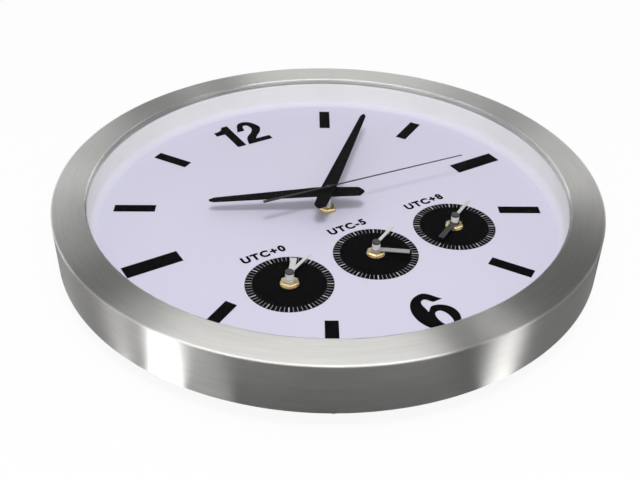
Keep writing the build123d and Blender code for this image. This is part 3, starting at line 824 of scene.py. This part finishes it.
def makeInnerRing():
    low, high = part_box("inner_ring")
    inner, outer = ringShape["inner"], high.x
    wall, flange = ringShape["wall"], ringShape["flange"]
    cove = ringShape["cove"]
    curve = []
    for step in range(ringShape["coveSteps"] + 1):
        turn = math.radians(ringShape["coveSweep"] * step / ringShape["coveSteps"])
        curve.append((inner - cove + cove * math.cos(turn), low.z + cove - cove * math.sin(turn)))
    profile = [
        (curve[-1][0], low.z),
        (outer, low.z),
        (outer, low.z + flange),
        (inner + wall, low.z + flange),
        (inner + wall, high.z - flange),
        (outer, high.z - flange),
        (outer, high.z),
        (inner, high.z),
    ]
    piece = spunRing("innerWall", profile + curve, ringShape["segments"])
    roundRims(piece, [profile[-1]], ringShape["headRound"], ringShape["headSteps"])
    smooth(piece)
    dress(piece, ringWallFinish())
    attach(piece, "case")
    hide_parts("inner_ring")


makeInnerRing()
print("inner wall")

# Minute ticks on the three small dials
tickShape = {
    "inner": 22.3 * mm,
    "outer": 26.4 * mm,
    "thin": 0.40 * mm,
    "wide": 0.64 * mm,
    "rise": 0.04 * mm,
    "count": 60,
    "wideEvery": 5,
}
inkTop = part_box("sub_dials")[1].z


def printPlate(name, length, width, height):
    clearSelection()
    bpy.ops.mesh.primitive_plane_add(size=1)
    plate = bpy.context.object
    plate.name = name
    bpy.ops.object.mode_set(mode="EDIT")
    bpy.ops.mesh.select_all(action="SELECT")
    bpy.ops.transform.resize(value=(width, length, 1), center_override=(0, 0, 0))
    bpy.ops.mesh.extrude_region_move(TRANSFORM_OT_translate={"value": (0, 0, height)})
    bpy.ops.mesh.select_all(action="SELECT")
    bpy.ops.mesh.normals_make_consistent(inside=False)
    bpy.ops.object.mode_set(mode="OBJECT")
    return plate


def joined(name, pieces):
    clearSelection()
    for piece in pieces:
        piece.select_set(True)
    bpy.context.view_layer.objects.active = pieces[0]
    bpy.ops.object.join()
    bpy.ops.object.transform_apply(location=True, rotation=True, scale=True)
    pieces[0].name = name
    return pieces[0]


def makeTicks(side):
    centre = arborCentre(side)
    length = tickShape["outer"] - tickShape["inner"]
    middle = (tickShape["outer"] + tickShape["inner"]) / 2
    thin = []
    wide = []
    for minute in range(tickShape["count"]):
        turn = 2 * math.pi * minute / tickShape["count"]
        isThin = minute % tickShape["wideEvery"]
        width = tickShape["thin"] if isThin else tickShape["wide"]
        tick = printPlate(f"tick_{side}_{minute}", length, width, tickShape["rise"])
        tick.rotation_euler.z = -turn
        tick.location = centre + Vector((math.sin(turn) * middle, math.cos(turn) * middle, inkTop))
        group = thin if isThin else wide
        group.append(tick)
    for name, group, ink in (("minuteTicks", thin, greyPrint), ("fiveMinuteTicks", wide, whitePrint)):
        piece = joined(f"{name}_{side}", group)
        dress(piece, ink)
        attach(piece, "case")


for side in subSides:
    makeTicks(side)
print("minute ticks")

# Numerals as closed outlines in a unit box, corner points marked "c" and round points "r"
numeralShape = {
    "rise": 0.1 * mm,
    "curveSteps": 16,
    "twelve": {"left": -21.0 * mm, "right": 14.6 * mm, "low": 104.4 * mm, "high": 138.0 * mm},
    "six": {"left": -15.0 * mm, "right": 9.6 * mm, "low": -138.0 * mm, "high": -104.0 * mm},
    "one": [[
        (0.38, 0.0, "c"), (0.38, 1.0, "c"), (0.245, 1.0, "c"), (0.195, 0.90, "r"), (0.11, 0.845, "r"),
        (0.0, 0.828, "c"), (0.0, 0.665, "c"), (0.19, 0.665, "c"), (0.19, 0.0, "c"),
    ]],
    "two": [[
        (0.44, 0.0, "c"), (1.0, 0.0, "c"), (1.0, 0.165, "c"), (0.685, 0.165, "c"), (0.76, 0.27, "r"),
        (0.925, 0.46, "r"), (0.985, 0.68, "r"), (0.72, 1.0, "r"), (0.45, 0.62, "c"), (0.625, 0.62, "c"),
        (0.72, 0.835, "r"), (0.80, 0.68, "r"), (0.735, 0.50, "r"), (0.545, 0.30, "r"),
    ]],
    "digitSix": [[
        (0.965, 0.715, "c"), (0.575, 1.0, "r"), (0.0, 0.47, "r"), (0.53, 0.0, "r"), (1.0, 0.32, "r"),
        (0.64, 0.64, "r"), (0.39, 0.535, "c"), (0.525, 0.845, "r"), (0.71, 0.715, "c"),
    ], [
        (0.59, 0.09, "r"), (0.435, 0.285, "r"), (0.59, 0.485, "r"), (0.745, 0.285, "r"),
    ]],
}


def outlineCurve(name, loops, frameBox):
    curve = bpy.data.curves.new(name, "CURVE")
    curve.dimensions = "2D"
    curve.fill_mode = "BOTH"
    curve.resolution_u = numeralShape["curveSteps"]
    curve.extrude = numeralShape["rise"] / 2
    wide = frameBox["right"] - frameBox["left"]
    tall = frameBox["high"] - frameBox["low"]
    for loop in loops:
        spline = curve.splines.new("BEZIER")
        spline.bezier_points.add(len(loop) - 1)
        spline.use_cyclic_u = True
        for point, (x, y, kind) in zip(spline.bezier_points, loop):
            point.co = (frameBox["left"] + x * wide, frameBox["low"] + y * tall, 0)
            handle = "VECTOR" if kind == "c" else "AUTO"
            point.handle_left_type = handle
            point.handle_right_type = handle
    piece = bpy.data.objects.new(name, curve)
    bpy.context.scene.collection.objects.link(piece)
    return piece


def settlePrint(piece, name, height):
    clearSelection()
    piece.select_set(True)
    bpy.context.view_layer.objects.active = piece
    bpy.ops.object.convert(target="MESH")
    piece.location.z = height
    bpy.ops.object.transform_apply(location=True, rotation=True, scale=True)
    piece.name = name
    dress(piece, finishes["black_print"])
    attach(piece, "case")


def makeNumerals():
    height = dialFace + numeralShape["rise"] / 2
    digits = numeralShape["one"] + numeralShape["two"]
    twelve = outlineCurve("numeralTwelve", digits, numeralShape["twelve"])
    settlePrint(twelve, "numeralTwelve", height)
    six = outlineCurve("numeralSix", numeralShape["digitSix"], numeralShape["six"])
    settlePrint(six, "numeralSix", height)


makeNumerals()
print("numerals")

# Zone labels over the small dials, offsets from universal time
labelShape = {
    "words": {"left": "UTC+0", "middle": "UTC-5", "right": "UTC+8"},
    "capHeight": 5.8 * mm,
    "capShare": 0.69,
    "above": 30.6 * mm,
    "spacing": 1.22,
    "weight": 0.42 * mm,
    "rise": 0.1 * mm,
}


def makeLabels():
    for side, word in labelShape["words"].items():
        clearSelection()
        bpy.ops.object.text_add()
        label = bpy.context.object
        label.data.body = word
        label.data.align_x = "CENTER"
        label.data.size = labelShape["capHeight"] / labelShape["capShare"]
        label.data.space_character = labelShape["spacing"]
        label.data.offset = labelShape["weight"]
        label.data.extrude = labelShape["rise"] / 2
        centre = arborCentre(side)
        label.location = (centre.x, centre.y + labelShape["above"], 0)
        settlePrint(label, f"zoneLabel_{side}", dialFace + labelShape["rise"] / 2)


makeLabels()
print("zone labels")

# Floor, light and camera
stageShape = {
    "floorSize": 6.0,
    "floorDrop": 0.4 * mm,
    "floorTone": shade(0.85, 0.85, 0.86),
    "floorGlow": 0.92,
    "ambient": 0.60,
    "lamps": {
        "keyBox": {"size": 0.30, "power": 7.2, "place": (-0.26, -0.43, 1.20)},
        "frontBox": {"size": 0.7, "power": 1.5, "place": (-0.40, -0.67, 1.04)},
    },
}


# One where the camera, a mirror or a clear pane looks, nought for light that falls on things
def lookedAt(wire):
    camera = wire.add("LightPath", None, None, "Is Camera Ray")
    glossy = wire.add("LightPath", None, None, "Is Glossy Ray")
    through = wire.add("LightPath", None, None, "Is Transmission Ray")
    return (camera + glossy + through).clamped()


def makeFloor():
    clearSelection()
    middle = (0, 0, -stageShape["floorDrop"])
    bpy.ops.mesh.primitive_plane_add(size=stageShape["floorSize"], location=middle)
    floor = bpy.context.object
    floor.name = "paleFloor"
    material, wire = newFinish("paleFloorFinish")
    behind = wire.add("NewGeometry", None, None, "Backfacing")
    matte = wire.add("BsdfDiffuse", None, {"Color": stageShape["floorTone"]})
    glow = wire.add("Emission", None, {"Color": shade(1, 1, 1), "Strength": 1.0})
    lit = wire.add("MixShader", None, {0: lookedAt(wire) * stageShape["floorGlow"], 1: matte, 2: glow})
    clear = wire.add("BsdfTransparent", None, {"Color": shade(1, 1, 1)})
    sheet = wire.add("MixShader", None, {0: behind, 1: lit, 2: clear})
    wire.add("OutputMaterial", None, {"Surface": sheet})
    dress(floor, material)


def makeWorld():
    world = bpy.data.worlds.new("paleRoom")
    bpy.context.scene.world = world
    world.use_nodes = True
    world.node_tree.nodes.clear()
    wire = Wire(world.node_tree)
    strength = stageShape["ambient"] + lookedAt(wire) * (1.0 - stageShape["ambient"])
    room = wire.add("Background", None, {"Color": shade(1, 1, 1), "Strength": strength})
    wire.add("OutputWorld", None, {"Surface": room})


def makeLamps():
    for name, row in stageShape["lamps"].items():
        lamp = bpy.data.lights.new(name, "AREA")
        lamp.shape = "DISK"
        lamp.size = row["size"]
        lamp.energy = row["power"]
        holder = bpy.data.objects.new(name, lamp)
        holder.location = row["place"]
        holder.visible_glossy = False
        holder.rotation_euler = Vector(row["place"]).to_track_quat("Z", "Y").to_euler()
        bpy.context.scene.collection.objects.link(holder)


cameraShot = {
    "azimuth": -31.24,
    "elevation": 35.14,
    "roll": 0.92,
    "distance": 520.07 * mm,
    "target": (-39.2 * mm, -55.46 * mm, 45.0 * mm),
    "lens": 49.81,
    "sensor": 36.0,
    "nearest": 10.0 * mm,
}

# Dark flags and bright cards that only the metal mirrors. Corners are (right, ahead, up) in millimetres
# as the camera sees them.
cardShape = {
    "floorFlag": {"glow": 0.04, "corners": [
        (-1200, -1200, 0.2), (1200, -1200, 0.2), (1200, 1200, 0.2), (-1200, 1200, 0.2),
    ]},
    "leftPatch": {"glow": 5.0, "corners": [
        (-77, -157, 0.6), (-526, -430, 0.6), (-572, -340, 0.6), (-98, -145, 0.6),
    ]},
    "leftShade": {"glow": 0.30, "corners": [
        (-101, -143, 0.4), (-613, -185, 0.4), (-681, 312, 0.4), (-158, -75, 0.4),
    ]},
    "leftPale": {"glow": 0.56, "corners": [
        (-96, -146, 0.5), (-572, -322, 0.5), (-600, -70, 0.5), (-118, -128, 0.5),
    ]},
    "leftStripe": {"glow": 2.7, "corners": [
        (-108, -137, 0.6), (-588, -141, 0.6), (-588, -128, 0.6), (-111, -134, 0.6),
    ]},
    "leftFade": {"glow": 0.50, "corners": [
        (-48, -168, 0.5), (-440, -600, 0.5), (-526, -435, 0.5), (-77, -157, 0.5),
    ]},
    "rightPatch": {"glow": 2.6, "corners": [
        (84, -154, 0.6), (586, -326, 0.6), (644, -250, 0.6), (101, -143, 0.6),
    ]},
    "rightDim": {"glow": 0.20, "corners": [
        (55, -166, 0.5), (480, -480, 0.5), (586, -326, 0.5), (84, -154, 0.5),
    ]},
    "rightShade": {"glow": 0.24, "corners": [
        (100, -144, 0.5), (644, -226, 0.5), (800, 300, 0.5), (165, -60, 0.5),
    ]},
    "rearBox": {"glow": 4.3, "corners": [
        (-908, -58, 1000), (430, -58, 1000), (1000, -1050, 1000), (-830, -1050, 1000),
    ]},
    "rightSlip": {"glow": 3.6, "corners": [
        (640, -58, 998), (1080, -58, 998), (2400, -730, 998), (1400, -760, 998),
    ]},
    "leftSpot": {"glow": 2.4, "corners": [
        (-620, 50, 999), (-400, 50, 999), (-400, 500, 999), (-620, 500, 999),
    ]},
    "rearWall": {"glow": 0.04, "corners": [
        (-900, -1050, 0), (1900, -1050, 0), (1900, -1050, 998), (-900, -1050, 998),
    ]},
    "rightWall": {"glow": 0.55, "corners": [
        (1900, -1050, 0), (1900, 600, 0), (1900, 600, 900), (1900, -1050, 900),
    ]},
    "middleFlag": {"glow": 0.16, "corners": [
        (-2400, -58, 1000), (2400, -58, 1000), (2400, 800, 1000), (-2400, 800, 1000),
    ]},
    "rightFlag": {"glow": 0.035, "corners": [
        (417, 800, 1000), (2400, 800, 1000), (2400, 1755, 1000), (417, 1755, 1000),
    ]},
    "leftFlag": {"glow": 0.035, "corners": [
        (-2400, 800, 1000), (-417, 800, 1000), (-417, 2040, 1000), (-2400, 2040, 1000),
    ]},
    "rearRight": {"glow": 0.035, "corners": [
        (430, -58, 1001), (2400, -58, 1001), (2400, -2340, 1001), (240, -2340, 1001),
    ]},
    "rearLeft": {"glow": 0.035, "corners": [
        (-2400, -58, 1000), (-908, -58, 1000), (-880, -480, 1000), (-2400, -480, 1000),
    ]},
    "farRight": {"glow": 1.62, "corners": [
        (805, 2261, 0), (1500, 1873, 0), (1500, 1873, 1350), (805, 2261, 1350),
    ]},
    "farLeft": {"glow": 2.8, "corners": [
        (-2313, 641, 420), (-864, 2239, 420), (-864, 2239, 1200), (-2313, 641, 1200),
    ]},
    "leftGlint": {"glow": 5.0, "corners": [
        (-1800, -320, 990), (-1300, -320, 990), (-1300, -70, 990), (-1800, -70, 990),
    ]},
    "farMiddle": {"glow": 0.125, "corners": [
        (-864, 2239, 0), (805, 2261, 0), (805, 2261, 1200), (-864, 2239, 1200),
    ]},
}


def makeCards():
    azimuth = math.radians(cameraShot["azimuth"])
    right = Vector((math.cos(azimuth), math.sin(azimuth), 0))
    ahead = Vector((-math.sin(azimuth), math.cos(azimuth), 0))
    for name, row in cardShape.items():
        clearSelection()
        bpy.ops.mesh.primitive_plane_add(size=1)
        card = bpy.context.object
        card.name = name
        for point, (x, y, z) in zip((0, 1, 3, 2), row["corners"]):
            card.data.vertices[point].co = (right * x + ahead * y + Vector((0, 0, z))) * mm
        material, wire = newFinish(name + "Finish")
        glow = wire.add("Emission", None, {"Color": shade(1, 1, 1), "Strength": row["glow"]})
        wire.add("OutputMaterial", None, {"Surface": glow})
        dress(card, material)
        card.visible_camera = False
        card.visible_diffuse = False
        card.visible_transmission = False
        card.visible_shadow = False


def makeCamera():
    azimuth = math.radians(cameraShot["azimuth"])
    elevation = math.radians(cameraShot["elevation"])
    back = Vector((math.sin(azimuth) * math.cos(elevation), -math.cos(azimuth) * math.cos(elevation),
                   math.sin(elevation)))
    lens = bpy.data.cameras.new("viewCamera")
    lens.lens = cameraShot["lens"]
    lens.sensor_width = cameraShot["sensor"]
    lens.clip_start = cameraShot["nearest"]
    camera = bpy.data.objects.new("viewCamera", lens)
    camera.location = Vector(cameraShot["target"]) + back * cameraShot["distance"]
    turn = back.to_track_quat("Z", "Y") @ Quaternion((0, 0, 1), math.radians(cameraShot["roll"]))
    camera.rotation_euler = turn.to_euler()
    bpy.context.scene.collection.objects.link(camera)
    bpy.context.scene.camera = camera


makeFloor()
makeWorld()
makeLamps()
makeCards()
makeCamera()
bpy.context.scene.view_settings.view_transform = "Standard"
print("stage")
